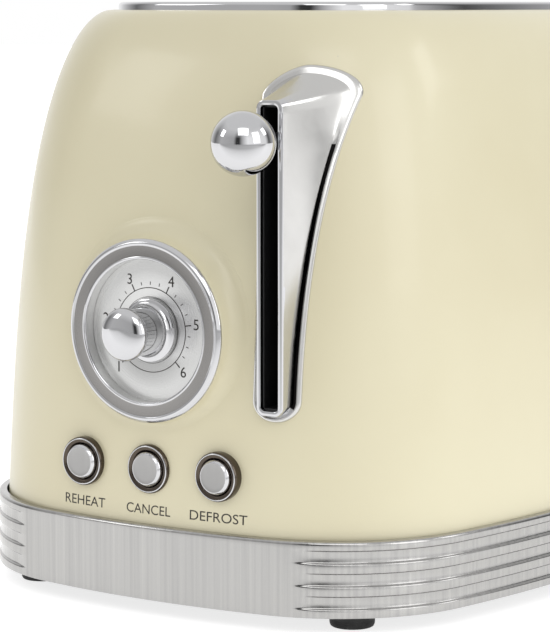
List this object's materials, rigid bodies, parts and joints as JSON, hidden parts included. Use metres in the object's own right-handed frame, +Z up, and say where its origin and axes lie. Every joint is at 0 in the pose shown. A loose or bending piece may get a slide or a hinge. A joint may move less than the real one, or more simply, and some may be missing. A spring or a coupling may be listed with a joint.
{
  "type": "pop up toaster",
  "caption": "Pop up toaster with a tapered enamelled shell, ribbed metal base band, lever-driven bread carriage, browning dial, push buttons and crumb tray.",
  "frame": {"origin": "on the surface the toaster stands on, below the middle of its overall box", "axes": "+Z up, +Y along the bread slots away from the control end, +X to the right of a person who faces the control end"},
  "size_m": [0.2, 0.3114, 0.1893],
  "materials": {
    "cream_enamel": "satin gloss cream enamel on steel",
    "bright_chrome": "bright chrome plate",
    "brushed_band": "fine vertical brushing, ribs polished",
    "satin_metal": "satin",
    "dark_metal": "dark gunmetal bright ring",
    "dial_silver": "fine satin silver with printed scale",
    "black_plastic": "matt black",
    "black_rubber": "matt black rubber",
    "galvanised_steel": "plain zinc-coated sheet",
    "spring_steel": "bright wire",
    "mica": "layered mica sheet",
    "heater_ribbon": "oxidised resistance ribbon",
    "board_green": "printed circuit board",
    "magnet_iron": "bare iron",
    "coil_copper": "enamelled copper winding",
    "component_plastic": "moulded component body"
  },
  "bodies": {
    "housing": {"body_shell": "cream_enamel", "top_plate": "bright_chrome", "base_band": "brushed_band", "base_plate": "black_plastic", "foot_front_left": "black_rubber", "foot_front_right": "black_rubber", "foot_rear_left": "black_rubber", "foot_rear_right": "black_rubber", "base_screws": "satin_metal", "lever_escutcheon": "bright_chrome", "slot_liner": "black_plastic", "dial_bezel": "bright_chrome", "dial_face": "dial_silver", "reheat_ring": "dark_metal", "cancel_ring": "dark_metal", "defrost_ring": "dark_metal", "reheat_switch": "component_plastic", "cancel_switch": "component_plastic", "defrost_switch": "component_plastic", "control_board": "board_green", "control_bracket": "galvanised_steel", "potentiometer": "component_plastic", "latch_magnet_core": "magnet_iron", "latch_magnet_coil": "coil_copper", "front_chassis_plate": "galvanised_steel", "rear_chassis_plate": "galvanised_steel", "reflector_left": "galvanised_steel", "reflector_right": "galvanised_steel", "heater_board_left": "mica", "heater_board_centre": "mica", "heater_board_right": "mica", "heater_winding_left": "heater_ribbon", "heater_winding_centre": "heater_ribbon", "heater_winding_right": "heater_ribbon", "guide_rod": "spring_steel", "rod_bracket": "galvanised_steel", "return_spring": "spring_steel", "cord_gland": "black_plastic"},
    "carriage": {"lever_ball": "bright_chrome", "lever_arm": "galvanised_steel", "carriage_bracket": "galvanised_steel", "latch_keeper": "magnet_iron", "bread_lifter_left": "galvanised_steel", "bread_lifter_right": "galvanised_steel"},
    "browning_dial": {"dial_knob": "bright_chrome", "dial_shaft": "satin_metal"},
    "reheat_push": {"reheat_button": "satin_metal"},
    "cancel_push": {"cancel_button": "satin_metal"},
    "defrost_push": {"defrost_button": "satin_metal"},
    "tray": {"crumb_tray": "galvanised_steel", "tray_handle": "brushed_band"},
    "guide_left_a": {"bread_guide_left_a": "spring_steel"},
    "guide_left_b": {"bread_guide_left_b": "spring_steel"},
    "guide_right_a": {"bread_guide_right_a": "spring_steel"},
    "guide_right_b": {"bread_guide_right_b": "spring_steel"}
  },
  "joints": [
    {"name": "carriage_slide", "type": "slide", "parent": "housing", "child": "carriage", "axis": [0, 0, -1], "range_m": [-0.007, 0.075], "stiffness_N_per_m": 60, "springref_m": -0.025, "deforming": ["return_spring"]},
    {"name": "dial_turn", "type": "hinge", "parent": "housing", "child": "browning_dial", "pos_m": [-0.0009, -0.14, 0.0889], "axis": [0, 1, 0], "range_deg": [-135, 135]},
    {"name": "reheat_press", "type": "slide", "parent": "housing", "child": "reheat_push", "axis": [0, 1, 0], "range_m": [0, 0.0015], "stiffness_N_per_m": 300, "springref_m": -0.001},
    {"name": "cancel_press", "type": "slide", "parent": "housing", "child": "cancel_push", "axis": [0, 1, 0], "range_m": [0, 0.0015], "stiffness_N_per_m": 300, "springref_m": -0.001},
    {"name": "defrost_press", "type": "slide", "parent": "housing", "child": "defrost_push", "axis": [0, 1, 0], "range_m": [0, 0.0015], "stiffness_N_per_m": 300, "springref_m": -0.001},
    {"name": "tray_slide", "type": "slide", "parent": "housing", "child": "tray", "axis": [0, 1, 0], "range_m": [0, 0.22]},
    {"name": "guide_left_a_lean", "type": "hinge", "parent": "housing", "child": "guide_left_a", "pos_m": [-0.037, 0.008, 0.04], "axis": [0, 1, 0], "range_deg": [-0.35, 3.1]},
    {"name": "guide_left_b_lean", "type": "hinge", "parent": "housing", "child": "guide_left_b", "pos_m": [-0.011, 0.008, 0.04], "axis": [0, -1, 0], "range_deg": [-0.35, 3.1]},
    {"name": "guide_right_a_lean", "type": "hinge", "parent": "housing", "child": "guide_right_a", "pos_m": [0.011, 0.008, 0.04], "axis": [0, 1, 0], "range_deg": [-0.35, 3.1]},
    {"name": "guide_right_b_lean", "type": "hinge", "parent": "housing", "child": "guide_right_b", "pos_m": [0.037, 0.008, 0.04], "axis": [0, -1, 0], "range_deg": [-0.35, 3.1]}
  ],
  "couplings": [
    {"joint": "guide_left_a_lean", "follows": "carriage_slide", "rad_per_m": 0.7},
    {"joint": "guide_left_b_lean", "follows": "carriage_slide", "rad_per_m": 0.7},
    {"joint": "guide_right_a_lean", "follows": "carriage_slide", "rad_per_m": 0.7},
    {"joint": "guide_right_b_lean", "follows": "carriage_slide", "rad_per_m": 0.7}
  ]
}
